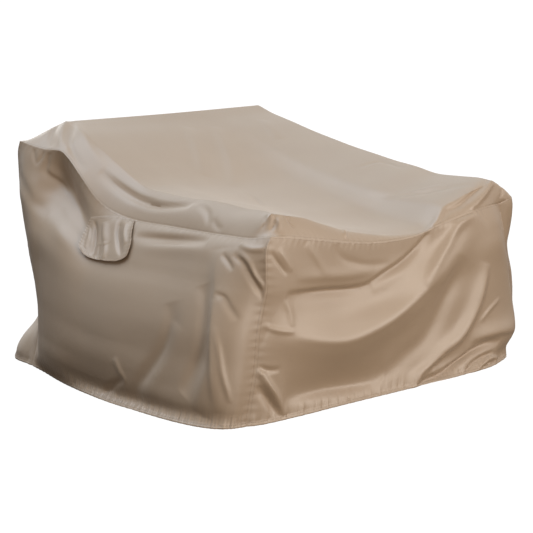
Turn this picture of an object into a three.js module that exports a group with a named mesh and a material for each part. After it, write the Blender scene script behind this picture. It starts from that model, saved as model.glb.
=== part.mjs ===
// Fitted outdoor cover for a chaise lounge with a high back and two low arms. The top cloth is
// pulled over the back and the arms and hangs between them like a hammock. Four skirts are sewn
// to it all round and fall to the floor, and a vent flap is sewn to the left skirt.
// Millimetres, +Z up, front towards -Y. The furniture itself isn't part of the cover.

import * as THREE from "three";

// Driving sizes
const CLOTH = 2;
const SEWN_GAP = 0.3;
const PLAN_CENTRE = { x: 2, y: 607 };
const SEAM_STRIP = 0.055;
const SEAM_EASE = 30;
const SKIRT_WIDTH = { front: 1170, back: 1190, left: 1250, right: 1230 };

// Grid steps: cells across and along the hollow of the top, in the fall to its seam, down a skirt
const CELLS = { across: 34, along: 24, fall: 4, skirt: 18 };
const FLAP_CELLS = { across: 10, down: 8 };

const CLOTH_COLOUR = "#b9ab98";
const SKIRT_COLOUR = "#a8957b";

// Rows of numbers with named columns
function table(columns, rows) {
  const names = columns.split(" ");
  return rows.map((row) => Object.fromEntries(names.map((name, i) => [name, row[i]])));
}

// Corners, clockwise from above: where the top is sewn, where it breaks, where the hem stands
const [sewnFL, sewnFR, sewnBL, sewnBR] = table("x y z", [
  [-572, -30, 589],
  [600, 0, 572],
  [-638, 1170, 799],
  [590, 1173, 797],
]);
const [breakFL, breakFR, breakBL, breakBR] = table("x y z", [
  [-535, 5, 655],
  [555, 0, 657],
  [-474, 1113, 861],
  [480, 1113, 860],
]);
const [footFL, footFR, footBL, footBR] = table("x y z", [
  [-674, -25, 0],
  [706, 48, 0],
  [-660, 1100, 0],
  [625, 1262, 0],
]);

// A smooth curve from one corner to another through the rows of a table
function line(start, rows, end) {
  const points = [start, ...table("x y z", rows), end].map((p) => new THREE.Vector3(p.x, p.y, p.z));
  return new THREE.CatmullRomCurve3(points, false, "centripetal");
}

// Where the top breaks over the furniture's edges: the front sags, the back is pulled straight
const breaks = {
  front: line(breakFL, [
    [-462, -8, 640], [-404, -8, 628], [-331, -8, 603], [-256, -8, 579], [-213, -8, 566],
    [-141, -12, 550], [-77, -16, 538], [-3, -20, 527], [58, -22, 523], [120, -20, 524],
    [180, -14, 533], [225, -8, 556], [275, -6, 590], [355, -8, 612], [452, -8, 638],
  ], breakFR),
  back: line(breakBL, [
    [0, 1113, 858],
  ], breakBR),
  left: line(breakFL, [
    [-514, 60, 654], [-503, 153, 650], [-500, 232, 655], [-500, 313, 658], [-500, 390, 656],
    [-500, 520, 660], [-500, 628, 668], [-500, 690, 686], [-499, 786, 730], [-497, 888, 782],
    [-493, 985, 826], [-485, 1060, 848],
  ], breakBL),
  right: line(breakFR, [
    [545, 41, 665], [533, 132, 665], [525, 226, 666], [520, 322, 684], [517, 420, 697],
    [512, 519, 715], [508, 621, 733], [504, 725, 755], [500, 832, 779], [496, 940, 807],
    [488, 1051, 836],
  ], breakBR),
};

// The seam all round the top, a hand's width below the break
const seams = {
  front: line(sewnFL, [
    [-495, -36, 580], [-405, -36, 564], [-313, -36, 548], [-219, -36, 532], [-98, -36, 517],
    [26, -36, 513], [102, -36, 516], [169, -36, 526], [232, -36, 541], [322, -36, 556],
    [420, -36, 569], [520, -24, 575],
  ], sewnFR),
  back: line(sewnBL, [
    [-300, 1168, 790], [0, 1165, 786], [300, 1168, 790],
  ], sewnBR),
  left: line(sewnFL, [
    [-590, 45, 579], [-592, 158, 576], [-590, 278, 574], [-588, 426, 574], [-590, 602, 575],
    [-596, 683, 588], [-602, 745, 608], [-608, 790, 636], [-610, 868, 703], [-606, 938, 756],
    [-608, 975, 777], [-622, 1046, 779], [-632, 1100, 787],
  ], sewnBL),
  right: line(sewnFR, [
    [643, -4, 583], [680, 6, 587], [674, 60, 579], [640, 140, 576], [618, 220, 580],
    [603, 400, 603], [594, 552, 633], [588, 707, 668], [582, 921, 725], [583, 1060, 770],
  ], sewnBR),
};

// The hem on the floor
const hems = {
  front: line(footFL, [
    [-630, -41, 0], [-465, -53, 0], [-278, -55, 0], [5, -64, 0], [105, -67, 0], [372, -68, 0],
    [493, -61, 0], [585, -34, 0], [660, 0, 0],
  ], footFR),
  back: line(footBL, [
    [-652, 1150, 0], [-648, 1192, 0], [-632, 1238, 0], [-602, 1274, 0], [-550, 1290, 0],
    [-430, 1286, 0], [-200, 1270, 0], [0, 1276, 0], [250, 1268, 0], [450, 1282, 0], [580, 1286, 0],
  ], footBR),
  left: line(footFL, [
    [-729, -9, 0], [-763, 24, 0], [-785, 80, 0], [-797, 160, 0], [-800, 250, 0], [-797, 393, 0],
    [-793, 497, 0], [-772, 658, 0], [-760, 724, 0], [-735, 837, 0], [-690, 988, 0],
  ], footBL),
  right: line(footFR, [
    [740, 130, 0], [765, 260, 0], [764, 480, 0], [740, 720, 0], [695, 980, 0], [655, 1180, 0],
  ], footBR),
};

// The upright seams where two skirts meet
const posts = {
  frontLeft: line(sewnFL, [
    [-594, -32, 551], [-598, -34, 425], [-607, -30, 376], [-626, -28, 290], [-637, -28, 189],
    [-664, -26, 49],
  ], footFL),
  frontRight: line(sewnFR, [
    [628, 3, 491], [650, 8, 425], [692, 25, 349], [716, 35, 280], [746, 45, 204], [764, 50, 119],
    [757, 52, 80], [723, 50, 45],
  ], footFR),
  backLeft: line(sewnBL, [
    [-640, 1180, 766], [-640, 1180, 716], [-640, 1173, 631], [-638, 1163, 589], [-638, 1148, 494],
    [-637, 1136, 410], [-633, 1117, 325], [-629, 1101, 235], [-630, 1095, 150], [-641, 1097, 70],
  ], footBL),
  backRight: line(sewnBR, [
    [596, 1205, 720], [598, 1212, 600], [600, 1190, 400], [610, 1215, 180],
  ], footBR),
};

// How far each skirt stands out from a straight fall: a row for each upright line at a share of
// the skirt's width, with one number for each share of its height below the seam
const SWELL_LEVELS = [0, 0.04, 0.1, 0.16, 0.22, 0.29, 0.36, 0.5, 0.66, 0.82, 0.9, 0.95, 1];
const SWELL_COLUMNS = "at out";
const swells = {
  front: table(SWELL_COLUMNS, [
    [0, [0, 0, 0, 0, 0, 0, 0, 0, 0, 0, 0, 0, 0]],
    [0.2, [0, -1, -3, -5, -8, -10, -8, 0, 4, 0, -2, -2, 0]],
    [0.5, [0, -2, -5, -6, -6, -6, -4, 4, 4, -2, -4, -3, 0]],
    [0.8, [0, -2, -5, -4, -2, 0, 2, 4, 2, 0, -2, -2, 0]],
    [0.94, [0, 4, 8, 9, 10, 9, 8, 6, 4, 6, 2, -4, 0]],
    [1, [0, 0, 0, 0, 0, 0, 0, 0, 0, 0, 0, 0, 0]],
  ]),
  back: table(SWELL_COLUMNS, [
    [0, [0, 0, 0, 0, 0, 0, 0, 0, 0, 0, 0, 0, 0]],
    [0.06, [0, 0, 0, -2, -4, -8, -16, -34, -52, -26, 4, 10, 0]],
    [0.16, [0, 2, 4, 4, 2, -2, -10, -26, -38, -16, 2, 6, 0]],
    [0.5, [0, 4, 9, 12, 14, 14, 12, 9, 6, 4, 3, 2, 0]],
    [1, [0, 0, 0, 0, 0, 0, 0, 0, 0, 0, 0, 0, 0]],
  ]),
  left: table(SWELL_COLUMNS, [
    [0, [0, 0, 0, 0, 0, 0, 0, 0, 0, 0, 0, 0, 0]],
    [0.06, [0, 5, 12, 18, 22, 25, 26, 23, 18, 12, 6, 0, 0]],
    [0.15, [0, 8, 20, 30, 39, 46, 50, 47, 36, 22, 10, -2, 0]],
    [0.3, [0, 8, 20, 32, 43, 53, 60, 62, 51, 32, 16, -4, 0]],
    [0.5, [0, 10, 24, 38, 52, 64, 74, 76, 70, 48, 20, -6, 0]],
    [0.65, [0, 0, 0, 6, 26, 50, 66, 74, 74, 60, 36, 10, 0]],
    [0.75, [0, -8, -20, -26, 16, 60, 74, 78, 82, 74, 58, 34, 0]],
    [0.84, [0, -10, -24, -26, 12, 54, 76, 78, 82, 74, 60, 40, 0]],
    [0.9, [0, 8, 20, 40, 58, 70, 75, 67, 62, 58, 48, 34, 0]],
    [0.95, [0, 12, 27, 39, 47, 49, 44, 29, 20, 22, 22, 18, 0]],
    [1, [0, 0, 0, 0, 0, 0, 0, 0, 0, 0, 0, 0, 0]],
  ]),
  right: table(SWELL_COLUMNS, [
    [0, [0, 0, 0, 0, 0, 0, 0, 0, 0, 0, 0, 0, 0]],
    [0.06, [0, 4, 3, -2, -8, -16, -14, 4, 8, 0, -6, -6, 0]],
    [0.2, [0, 0, 0, -2, -6, -10, -12, -12, -22, -38, -42, -28, 0]],
    [0.5, [0, 0, 0, -2, -4, -4, -2, 0, 3, 4, 3, 2, 0]],
    [0.9, [0, 1, 4, 6, 8, 8, 7, 6, 4, 0, 0, 0, 0]],
    [1, [0, 0, 0, 0, 0, 0, 0, 0, 0, 0, 0, 0, 0]],
  ]),
};

// Folds, marked on the flat cloth as with chalk. On the top, places are across and back. On a
// skirt they are the distance along it from its first corner and the drop below the seam. A fold
// is wide on one side of its path and steep on the other. Ridges are positive, troughs negative.
const FOLD_COLUMNS = "path wide steep height";
const folds = {
  top: table(FOLD_COLUMNS, [
    [[[-440, 1100], [-490, 1000], [-530, 900], [-540, 815]], 18, 20, 5],
    [[
      [-555, 820], [-555, 755], [-550, 690], [-550, 605], [-555, 525], [-545, 450], [-530, 370],
    ], 14, 17, -14],
    [[[-470, 1115], [-510, 1085], [-550, 1050], [-600, 1000]], 14, 14, 8],
    [[[-480, 1130], [-505, 1122], [-545, 1100], [-620, 1045]], 14, 14, -8],
    [[[550, 8], [455, -18], [360, -32], [285, -28], [235, -34]], 14, 14, -9],
    [[[570, -2], [520, -30], [460, -52], [400, -62]], 14, 16, 8],
    [[[15, 1005], [-90, 835], [-180, 710]], 34, 22, 5],
    [[[140, 990], [10, 775], [-120, 620]], 34, 22, 5],
    [[[380, 990], [340, 900], [310, 830]], 30, 20, 4],
    [[[215, 280], [335, 140], [485, 15]], 20, 20, -4],
  ]),
  front: table(FOLD_COLUMNS, [
    [[
      [30, 295], [90, 315], [185, 325], [310, 325], [450, 280], [635, 195], [835, 110], [1000, 10],
    ], 62, 66, 30],
    [[[80, 185], [245, 165], [355, 155], [450, 140]], 26, 14, -13],
    [[[405, 150], [515, 105], [590, 80], [670, 45], [745, 0]], 18, 14, -11],
    [[[115, 130], [245, 120], [355, 110], [465, 95]], 14, 24, 4],
    [[[105, 510], [240, 485], [400, 470], [490, 460]], 26, 60, -18],
    [[[460, 465], [550, 405], [655, 350], [725, 285], [790, 220], [870, 130]], 34, 34, -10],
    [[
      [610, 515], [665, 460], [720, 425], [790, 410], [855, 365], [910, 310], [985, 195],
    ], 16, 34, 17],
    [[
      [630, 515], [665, 505], [735, 505], [800, 495], [860, 475], [915, 470], [995, 490],
    ], 20, 14, -14],
    [[[972, 4], [890, 26], [815, 70], [735, 112], [655, 165]], 15, 20, 8],
    [[[845, 435], [925, 445], [1010, 460], [1120, 485]], 14, 30, 9],
    [[[5, 410], [45, 465], [85, 515], [115, 565]], 14, 14, 12],
    [[[15, 470], [60, 520], [105, 570]], 15, 14, -10],
  ]),
  left: table(FOLD_COLUMNS, [
    [[
      [325, 255], [310, 300], [320, 355], [350, 415], [410, 485], [480, 555], [525, 595],
    ], 22, 26, -13],
    [[[285, 310], [305, 375], [345, 440], [395, 505], [465, 570]], 26, 18, 8],
    [[[215, 160], [182, 225], [168, 290], [175, 370], [210, 450], [250, 525]], 20, 22, -12],
    [[[165, 50], [145, 150], [135, 300], [150, 450], [180, 570]], 70, 34, 20],
    [[[150, 215], [140, 310], [135, 400], [125, 490], [110, 555]], 18, 14, 9],
    [[[575, 58], [440, 50], [345, 41], [235, 34]], 15, 15, -14],
    [[[545, 88], [420, 76], [305, 64], [195, 60]], 16, 26, 5],
    [[[685, 600], [620, 565], [535, 530]], 14, 14, -7],
    [[[1100, 8], [1102, 45], [1105, 76], [1070, 110], [1025, 138]], 14, 14, -8],
    [[[1235, 90], [1175, 135], [1110, 185], [1045, 230]], 20, 22, -6],
  ]),
  back: [],
  right: [],
};

// The vent flap, on the left skirt's flat cloth: its front and rear edge at a share of its length
const flapEdges = table("share frontAt frontDrop rearAt rearDrop", [
  [0, 618, 5, 816, 68],
  [0.35, 586, 48, 828, 115],
  [0.7, 563, 102, 832, 160],
  [0.9, 574, 134, 828, 186],
  [1, 610, 151, 796, 194],
]);
const FLAP_BOW = 80;
const FLAP_REST = 10;
const FLAP_WAVE = 3;
const FLAP_REACH = { top: 1, growth: 8 };

// Height of one fold at a place on the flat cloth, fading out at both ends of its path
function foldHeight(fold, x, y) {
  const steps = fold.path.slice(1).map((to, i) => {
    const from = fold.path[i];
    const run = { x: to[0] - from[0], y: to[1] - from[1] };
    return { from, run, length: Math.hypot(run.x, run.y) };
  });
  const total = steps.reduce((sum, step) => sum + step.length, 0);
  const nearest = { distance: Infinity, side: 0, along: 0 };
  let passed = 0;
  for (const { from, run, length } of steps) {
    const dx = x - from[0];
    const dy = y - from[1];
    const share = THREE.MathUtils.clamp((dx * run.x + dy * run.y) / length ** 2, 0, 1);
    const distance = Math.hypot(dx - share * run.x, dy - share * run.y);
    if (distance < nearest.distance) {
      nearest.distance = distance;
      nearest.side = run.x * dy - run.y * dx;
      nearest.along = (passed + share * length) / total;
    }
    passed += length;
  }
  const width = nearest.side > 0 ? fold.wide : fold.steep;
  const fade = (4 * nearest.along * (1 - nearest.along)) ** 0.7;
  return fold.height * fade * Math.exp(-((nearest.distance / width) ** 2));
}

// Smooth value between knots
function between(knots, values, at) {
  const last = knots.length - 1;
  const slope = (k) => {
    const a = Math.max(k - 1, 0);
    const b = Math.min(k + 1, last);
    return (values[b] - values[a]) / (knots[b] - knots[a]);
  };
  let k = 0;
  while (k < last - 1 && at >= knots[k + 1]) k += 1;
  const h = knots[k + 1] - knots[k];
  const t = (at - knots[k]) / h;
  const ease = t * t * (3 - 2 * t);
  return values[k] * (1 - ease) + values[k + 1] * ease
    + h * t * (1 - t) * ((1 - t) * slope(k) - t * slope(k + 1));
}

function swellOut(rows, at, down) {
  const stations = rows.map((row) => row.at);
  const profile = SWELL_LEVELS.map((_, i) => between(stations, rows.map((row) => row.out[i]), at));
  return between(SWELL_LEVELS, profile, down);
}

// A smooth sheet between four edges that share their corners
function coons(near, far, first, last, s, t) {
  const sum = new THREE.Vector3();
  const add = (point, weight) => sum.addScaledVector(point, weight);
  add(near.getPointAt(s), 1 - t);
  add(far.getPointAt(s), t);
  add(first.getPointAt(t), 1 - s);
  add(last.getPointAt(t), s);
  add(near.getPointAt(0), -(1 - s) * (1 - t));
  add(near.getPointAt(1), -s * (1 - t));
  add(far.getPointAt(0), -(1 - s) * t);
  add(far.getPointAt(1), -s * t);
  return sum;
}

// The cloth's fall from a break point to the seam, share 0 at the break and 1 at the seam: straight
// where roundness is 0 and like a quarter circle where it is 1
function fall(from, to, share, roundness) {
  const across = Math.sin(share * Math.PI / 2) ** 0.9;
  const down = 1 - Math.cos(share * Math.PI / 2) ** 1.2;
  const out = THREE.MathUtils.lerp(share, across, roundness);
  return new THREE.Vector3(
    from.x + (to.x - from.x) * out,
    from.y + (to.y - from.y) * out,
    from.z + (to.z - from.z) * THREE.MathUtils.lerp(share, down, roundness),
  );
}

// Roundness of the fall: the left arm's is rounder in front, where it stands free of the back
const FALL_ROUND = { front: 0.25, back: 0.25, right: 0.3 };
const leftRound = table("at round", [[0, 0.15], [0.08, 0.4], [0.5, 0.4], [0.7, 0.3], [1, 0.3]]);

function fallRound(edge, at) {
  if (edge !== "left") return FALL_ROUND[edge];
  return between(leftRound.map((row) => row.at), leftRound.map((row) => row.round), at);
}

// Shares along a seam: even over the hollow, with a short strip of the fall at each end. A share
// knows where it is over the hollow and how far down the fall it is, less than 0 at the first end
function seamShares(cells) {
  const shares = [];
  for (let i = -CELLS.fall; i <= cells + CELLS.fall; i += 1) {
    const over = THREE.MathUtils.clamp(i / cells, 0, 1);
    const drop = (i < 0 ? i : Math.max(i - cells, 0)) / CELLS.fall;
    shares.push({ over, drop, along: SEAM_STRIP * (1 + drop) + (1 - 2 * SEAM_STRIP) * over });
  }
  return shares;
}

const acrossShares = seamShares(CELLS.across);
const alongShares = seamShares(CELLS.along);

// One point of the top, with its place on the flat cloth
function topPoint(across, along) {
  const edgeY = along.drop < 0 ? "front" : "back";
  const edgeX = across.drop < 0 ? "left" : "right";
  const a = Math.abs(across.drop);
  const b = Math.abs(along.drop);
  const inner = coons(breaks.front, breaks.back, breaks.left, breaks.right, across.over, along.over);
  if (a === 0 && b === 0) return { point: inner, flat: { x: inner.x, y: inner.y } };
  const onY = seams[edgeY].getPointAt(across.along);
  const onX = seams[edgeX].getPointAt(along.along);
  const stripEndX = seams[edgeX].getPointAt(along.over === 0 ? SEAM_STRIP : 1 - SEAM_STRIP);
  const stripEndY = seams[edgeY].getPointAt(across.over === 0 ? SEAM_STRIP : 1 - SEAM_STRIP);
  const reachX = a === 0 ? 0 : inner.distanceTo(b === 0 ? onX : stripEndX);
  const reachY = b === 0 ? 0 : inner.distanceTo(a === 0 ? onY : stripEndY);
  const flat = {
    x: inner.x + across.drop * reachX,
    y: inner.y + along.drop * reachY,
  };
  const roundX = fallRound(edgeX, along.over);
  const roundY = fallRound(edgeY, across.over);
  if (b === 0) return { point: fall(inner, onX, a, roundX), flat };
  if (a === 0) return { point: fall(inner, onY, b, roundY), flat };
  const sewn = seams[edgeY].getPointAt(across.over);
  const point = new THREE.Vector3()
    .addScaledVector(fall(inner, stripEndY, b, roundY), 1 - a)
    .addScaledVector(onX, a)
    .addScaledVector(fall(inner, stripEndX, a, roundX), 1 - b)
    .addScaledVector(onY, b)
    .addScaledVector(inner, -(1 - a) * (1 - b))
    .addScaledVector(stripEndX, -a * (1 - b))
    .addScaledVector(stripEndY, -(1 - a) * b)
    .addScaledVector(sewn, -a * b);
  return { point, flat };
}

function topPanel() {
  const spots = alongShares.flatMap((along) => acrossShares.map((across) => topPoint(across, along)));
  return {
    name: "top_panel",
    columns: acrossShares.length,
    turned: false,
    sewn: { first: true, last: true, near: true, far: true },
    points: spots.map((spot) => spot.point),
    flats: spots.map((spot) => spot.flat),
    folds: folds.top,
  };
}

// Rows down a skirt, closer together near the seam and near the hem
const SKIRT_CROWDING = 0.05;
const dropShares = Array.from({ length: CELLS.skirt + 1 }, (_, j) => {
  const share = j / CELLS.skirt;
  return share - SKIRT_CROWDING * Math.sin(2 * Math.PI * share);
});

function skirtPanel(side, shares, first, last, turned) {
  const alongs = shares.map((share) => share.along);
  const lengths = alongs.map((s) => seams[side].getPointAt(s).distanceTo(hems[side].getPointAt(s)));
  const spots = dropShares.flatMap((t) => alongs.map((s, i) => ({
    point: coons(seams[side], hems[side], first, last, s, t),
    flat: { x: s * SKIRT_WIDTH[side], y: t * lengths[i] },
    swell: swellOut(swells[side], s, t),
  })));
  return {
    name: `${side}_panel`,
    columns: alongs.length,
    turned,
    sewn: { first: true, last: true, near: true, far: false },
    points: spots.map((spot) => spot.point),
    flats: spots.map((spot) => spot.flat),
    swells: spots.map((spot) => spot.swell),
    folds: folds[side],
  };
}

// Triangles of a grid, each cell cut in two
function cellFaces(columns, count, turned) {
  const faces = [];
  for (let k = 0; k + columns < count; k += 1) {
    if ((k + 1) % columns === 0) continue;
    const [a, b, c, d] = [k, k + 1, k + columns + 1, k + columns];
    faces.push(...(turned ? [[a, c, b], [a, d, c]] : [[a, b, c], [a, c, d]]));
  }
  return faces;
}

// Outward direction at each point, summed over the faces around it
function outwardSums(points, faces) {
  const sums = points.map(() => new THREE.Vector3());
  for (const [a, b, c] of faces) {
    const ab = points[b].clone().sub(points[a]);
    const ac = points[c].clone().sub(points[a]);
    const normal = ab.cross(ac);
    for (const k of [a, b, c]) sums[k].add(normal);
  }
  return sums;
}

// Pushes the base sheet out by its swell and folds, which ease to nothing at a sewn edge
function drape(panel) {
  const { points, flats, columns } = panel;
  const faces = cellFaces(columns, points.length, panel.turned);
  const normals = outwardSums(points, faces).map((sum) => sum.normalize());
  const rows = points.length / columns;
  panel.points = points.map((point, k) => {
    const { x, y } = flats[k];
    const row = Math.floor(k / columns);
    const start = flats[row * columns];
    const end = flats[row * columns + columns - 1];
    const near = flats[k % columns];
    const far = flats[(rows - 1) * columns + (k % columns)];
    const edges = [x - start.x, end.x - x, y - near.y];
    if (panel.sewn.far) edges.push(far.y - y);
    const ease = THREE.MathUtils.smoothstep(Math.min(...edges), 0, SEAM_EASE);
    const height = panel.folds.reduce((sum, fold) => sum + foldHeight(fold, x, y), 0);
    const onFloor = !panel.sewn.far && row === rows - 1;
    if (onFloor) normals[k].setZ(0).normalize();
    const moved = point.clone().addScaledVector(normals[k], ease * height + (panel.swells?.[k] ?? 0));
    return onFloor ? moved.setZ(0) : moved;
  });
}

// Skirts that share a seam point share its outward direction, so their edges meet on a mitre
const placeKey = (point) => point.toArray().map((value) => value.toFixed(1)).join(" ");

function sharedNormals(panels) {
  const places = new Map();
  for (const panel of panels) {
    const faces = cellFaces(panel.columns, panel.points.length, panel.turned);
    outwardSums(panel.points, faces).forEach((sum, k) => {
      const key = placeKey(panel.points[k]);
      const place = places.get(key) ?? places.set(key, new THREE.Vector3()).get(key);
      place.add(sum);
    });
  }
  return places;
}

// The sheet's faces: outside, inside and the edge all round
function sheetGeometry(outer, inner, columns, turned) {
  const count = outer.length;
  const faces = cellFaces(columns, count, turned);
  const rows = count / columns;
  const rim = [];
  for (let i = 0; i < columns - 1; i += 1) rim.push(i);
  for (let j = 0; j < rows - 1; j += 1) rim.push(j * columns + columns - 1);
  for (let i = columns - 1; i > 0; i -= 1) rim.push((rows - 1) * columns + i);
  for (let j = rows - 1; j > 0; j -= 1) rim.push(j * columns);
  const all = [...faces];
  for (const [a, b, c] of faces) all.push([a + count, c + count, b + count]);
  rim.forEach((a, i) => {
    const b = rim[(i + 1) % rim.length];
    const edge = [[a, a + count, b], [b, a + count, b + count]];
    all.push(...(turned ? edge.map(([p, q, r]) => [p, r, q]) : edge));
  });
  const geometry = new THREE.BufferGeometry();
  const positions = [...outer, ...inner].flatMap((point) => point.toArray());
  geometry.setAttribute("position", new THREE.Float32BufferAttribute(positions, 3));
  geometry.setIndex(all.flat());
  return geometry;
}

// Draws a sewn edge back into its own panel, square to the seam, by half the sewn gap
function drawnBack(panel, normals) {
  const { points, columns, sewn } = panel;
  const rows = points.length / columns;
  return points.map((point, k) => {
    const i = k % columns;
    const j = Math.floor(k / columns);
    const shift = new THREE.Vector3();
    const pull = (inward, before, after) => {
      const seam = points[after].clone().sub(points[before]);
      const square = seam.cross(normals[k]).normalize();
      const side = Math.sign(square.dot(points[inward].clone().sub(point)));
      shift.addScaledVector(square, side * SEWN_GAP / 2);
    };
    const [left, right] = [Math.max(i - 1, 0), Math.min(i + 1, columns - 1)].map((n) => j * columns + n);
    const [up, down] = [Math.max(j - 1, 0), Math.min(j + 1, rows - 1)].map((n) => n * columns + i);
    if (i === 0 && sewn.first) pull(right, up, down);
    if (i === columns - 1 && sewn.last) pull(left, up, down);
    if (j === 0 && sewn.near) pull(down, left, right);
    if (j === rows - 1 && sewn.far) pull(up, left, right);
    return shift;
  });
}

function clothMesh(name, geometry, colour) {
  const material = new THREE.MeshStandardMaterial({ color: colour, roughness: 0.6, metalness: 0 });
  const mesh = new THREE.Mesh(geometry, material);
  mesh.name = name;
  return mesh;
}

function panelMesh(panel, places) {
  const { points, columns } = panel;
  const rows = points.length / columns;
  const normals = points.map((point, k) => {
    const normal = places.get(placeKey(point)).clone();
    if (!panel.sewn.far && k >= (rows - 1) * columns) normal.setZ(0);
    return normal.normalize();
  });
  const shifts = drawnBack(panel, normals);
  const outer = points.map((point, k) => point.clone().add(shifts[k]));
  const inner = outer.map((point, k) => point.clone().addScaledVector(normals[k], -CLOTH));
  const colour = panel.name === "top_panel" ? CLOTH_COLOUR : SKIRT_COLOUR;
  return clothMesh(panel.name, sheetGeometry(outer, inner, columns, panel.turned), colour);
}

// Point of a draped skirt at a place on its flat cloth
function onSkirt(skirt, at, drop) {
  const { points, flats, columns } = skirt;
  let i = 0;
  while (i < columns - 2 && flats[i + 1].x <= at) i += 1;
  const across = (at - flats[i].x) / (flats[i + 1].x - flats[i].x);
  let j = 0;
  while (flats[(j + 1) * columns + i].y <= drop) j += 1;
  const k = j * columns + i;
  const down = (drop - flats[k].y) / (flats[k + columns].y - flats[k].y);
  const above = points[k].clone().lerp(points[k + 1], across);
  const below = points[k + columns].clone().lerp(points[k + columns + 1], across);
  return above.lerp(below, down);
}

// Distance of the skirt's outermost face from a plane on its left, looked for around a place
function leftmostFace(target, place, reach) {
  const start = place.x - 200;
  let nearest = Infinity;
  for (const dy of [-reach, 0, reach]) {
    for (const dz of [-reach, 0, reach]) {
      const origin = new THREE.Vector3(start, place.y + dy, place.z + dz);
      const [hit] = new THREE.Raycaster(origin, new THREE.Vector3(1, 0, 0)).intersectObject(target);
      if (hit) nearest = Math.min(nearest, hit.distance);
    }
  }
  return start + nearest;
}

// The flap hangs from its top edge, sewn on flat, and stands off the skirt lower down
function flapMesh(skirt, target) {
  const columns = FLAP_CELLS.across + 1;
  const outer = [];
  for (let j = 0; j <= FLAP_CELLS.down; j += 1) {
    const share = j / FLAP_CELLS.down;
    const shares = flapEdges.map((row) => row.share);
    const edge = (column) => between(shares, flapEdges.map((row) => row[column]), share);
    for (let i = 0; i < columns; i += 1) {
      const across = i / FLAP_CELLS.across;
      const at = THREE.MathUtils.lerp(edge("frontAt"), edge("rearAt"), across);
      const bow = FLAP_BOW * across * (1 - across) * (1 - share) ** 2;
      const drop = THREE.MathUtils.lerp(edge("frontDrop"), edge("rearDrop"), across) - bow;
      const place = onSkirt(skirt, at, drop);
      const wave = FLAP_WAVE * share * (1 + Math.sin(across * 5 * Math.PI));
      const stand = SEWN_GAP + CLOTH + FLAP_REST * Math.sqrt(share) + wave;
      const reach = FLAP_REACH.top + FLAP_REACH.growth * share;
      outer.push(place.setX(leftmostFace(target, place, reach) - stand));
    }
  }
  const faces = cellFaces(columns, outer.length, false);
  const normals = outwardSums(outer, faces).map((sum) => sum.normalize());
  const inner = outer.map((point, k) => point.clone().addScaledVector(normals[k], -CLOTH));
  return clothMesh("vent_flap", sheetGeometry(outer, inner, columns, false), CLOTH_COLOUR);
}

const skirts = {
  front: skirtPanel("front", acrossShares, posts.frontLeft, posts.frontRight, true),
  back: skirtPanel("back", acrossShares, posts.backLeft, posts.backRight, false),
  left: skirtPanel("left", alongShares, posts.frontLeft, posts.backLeft, false),
  right: skirtPanel("right", alongShares, posts.frontRight, posts.backRight, true),
};
const panels = [topPanel(), ...Object.values(skirts)];
panels.forEach(drape);
const places = sharedNormals(panels);
const meshes = panels.map((panel) => panelMesh(panel, places));
const leftMesh = meshes.find((mesh) => mesh.name === "left_panel");

const cover = new THREE.Group();
cover.add(...meshes, flapMesh(skirts.left, leftMesh));
cover.position.set(-PLAN_CENTRE.x, -PLAN_CENTRE.y, 0);

export default cover;
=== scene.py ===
import bpy
import numpy as np
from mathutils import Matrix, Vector


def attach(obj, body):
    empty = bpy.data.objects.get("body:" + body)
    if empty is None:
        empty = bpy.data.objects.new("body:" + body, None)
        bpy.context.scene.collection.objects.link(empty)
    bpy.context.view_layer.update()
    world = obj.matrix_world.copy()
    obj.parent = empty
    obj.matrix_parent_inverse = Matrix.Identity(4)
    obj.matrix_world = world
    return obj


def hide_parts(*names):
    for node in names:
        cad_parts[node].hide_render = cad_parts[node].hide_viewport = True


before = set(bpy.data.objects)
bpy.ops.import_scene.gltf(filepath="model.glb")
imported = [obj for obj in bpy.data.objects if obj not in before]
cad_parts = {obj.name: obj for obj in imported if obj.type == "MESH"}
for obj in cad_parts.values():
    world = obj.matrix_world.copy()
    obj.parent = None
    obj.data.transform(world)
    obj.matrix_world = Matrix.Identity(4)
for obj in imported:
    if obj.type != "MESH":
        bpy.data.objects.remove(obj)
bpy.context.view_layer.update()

# Top panel
# The cloth over the whole lounge: woven polyester with a soft coating, cut in one piece, pulled
# straight along the high back and hung between the two arms like a hammock. It is sewn to the
# four skirts a hand's width below the furniture's edges.
MM = 0.001
CLOTH = 1.2
TOP_CELLS = {"across": 200, "along": 160, "fall": 14}
LINE_STEPS = 900
# Places are in mm: X to the right, Y to the back, Z up from the floor. This one goes to the origin
PLAN_CENTRE = (2, 607)
# Share of each seam that lies beside a corner of the top
SEAM_STRIP = 0.055
# How round the cloth falls to the seams, from 0, straight, to 1. The left side's changes on its way
FALL_ROUND = {"ends": 0.25, "right": 0.3}
LEFT_ROUND_AT = [0, 0.08, 0.5, 0.7, 1]
LEFT_ROUND = [0.15, 0.4, 0.4, 0.3, 0.3]
# Folds show in full from so far in from a seam, and its stitches hold the cloth flat about so far
FOLDS_FROM = 16
SEAM_HOLDS = 5
# The cloth rolls up from a seam's stitches within the first distance, and is flat past the second
ROLL = (3.5, 20)
# A sheet is shaded smooth up to this angle between its faces, so its cut edges stay crisp
SMOOTH_ANGLE = np.radians(55)

# The top's corners, on the seam and where the cloth breaks over the arms and the back
sewn = {"FL": (-572, -30, 589), "FR": (600, 0, 572), "BL": (-638, 1170, 799), "BR": (590, 1173, 797)}
broken = {"FL": (-535, 5, 655), "FR": (555, 0, 657), "BL": (-474, 1113, 861), "BR": (480, 1113, 860)}


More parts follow.
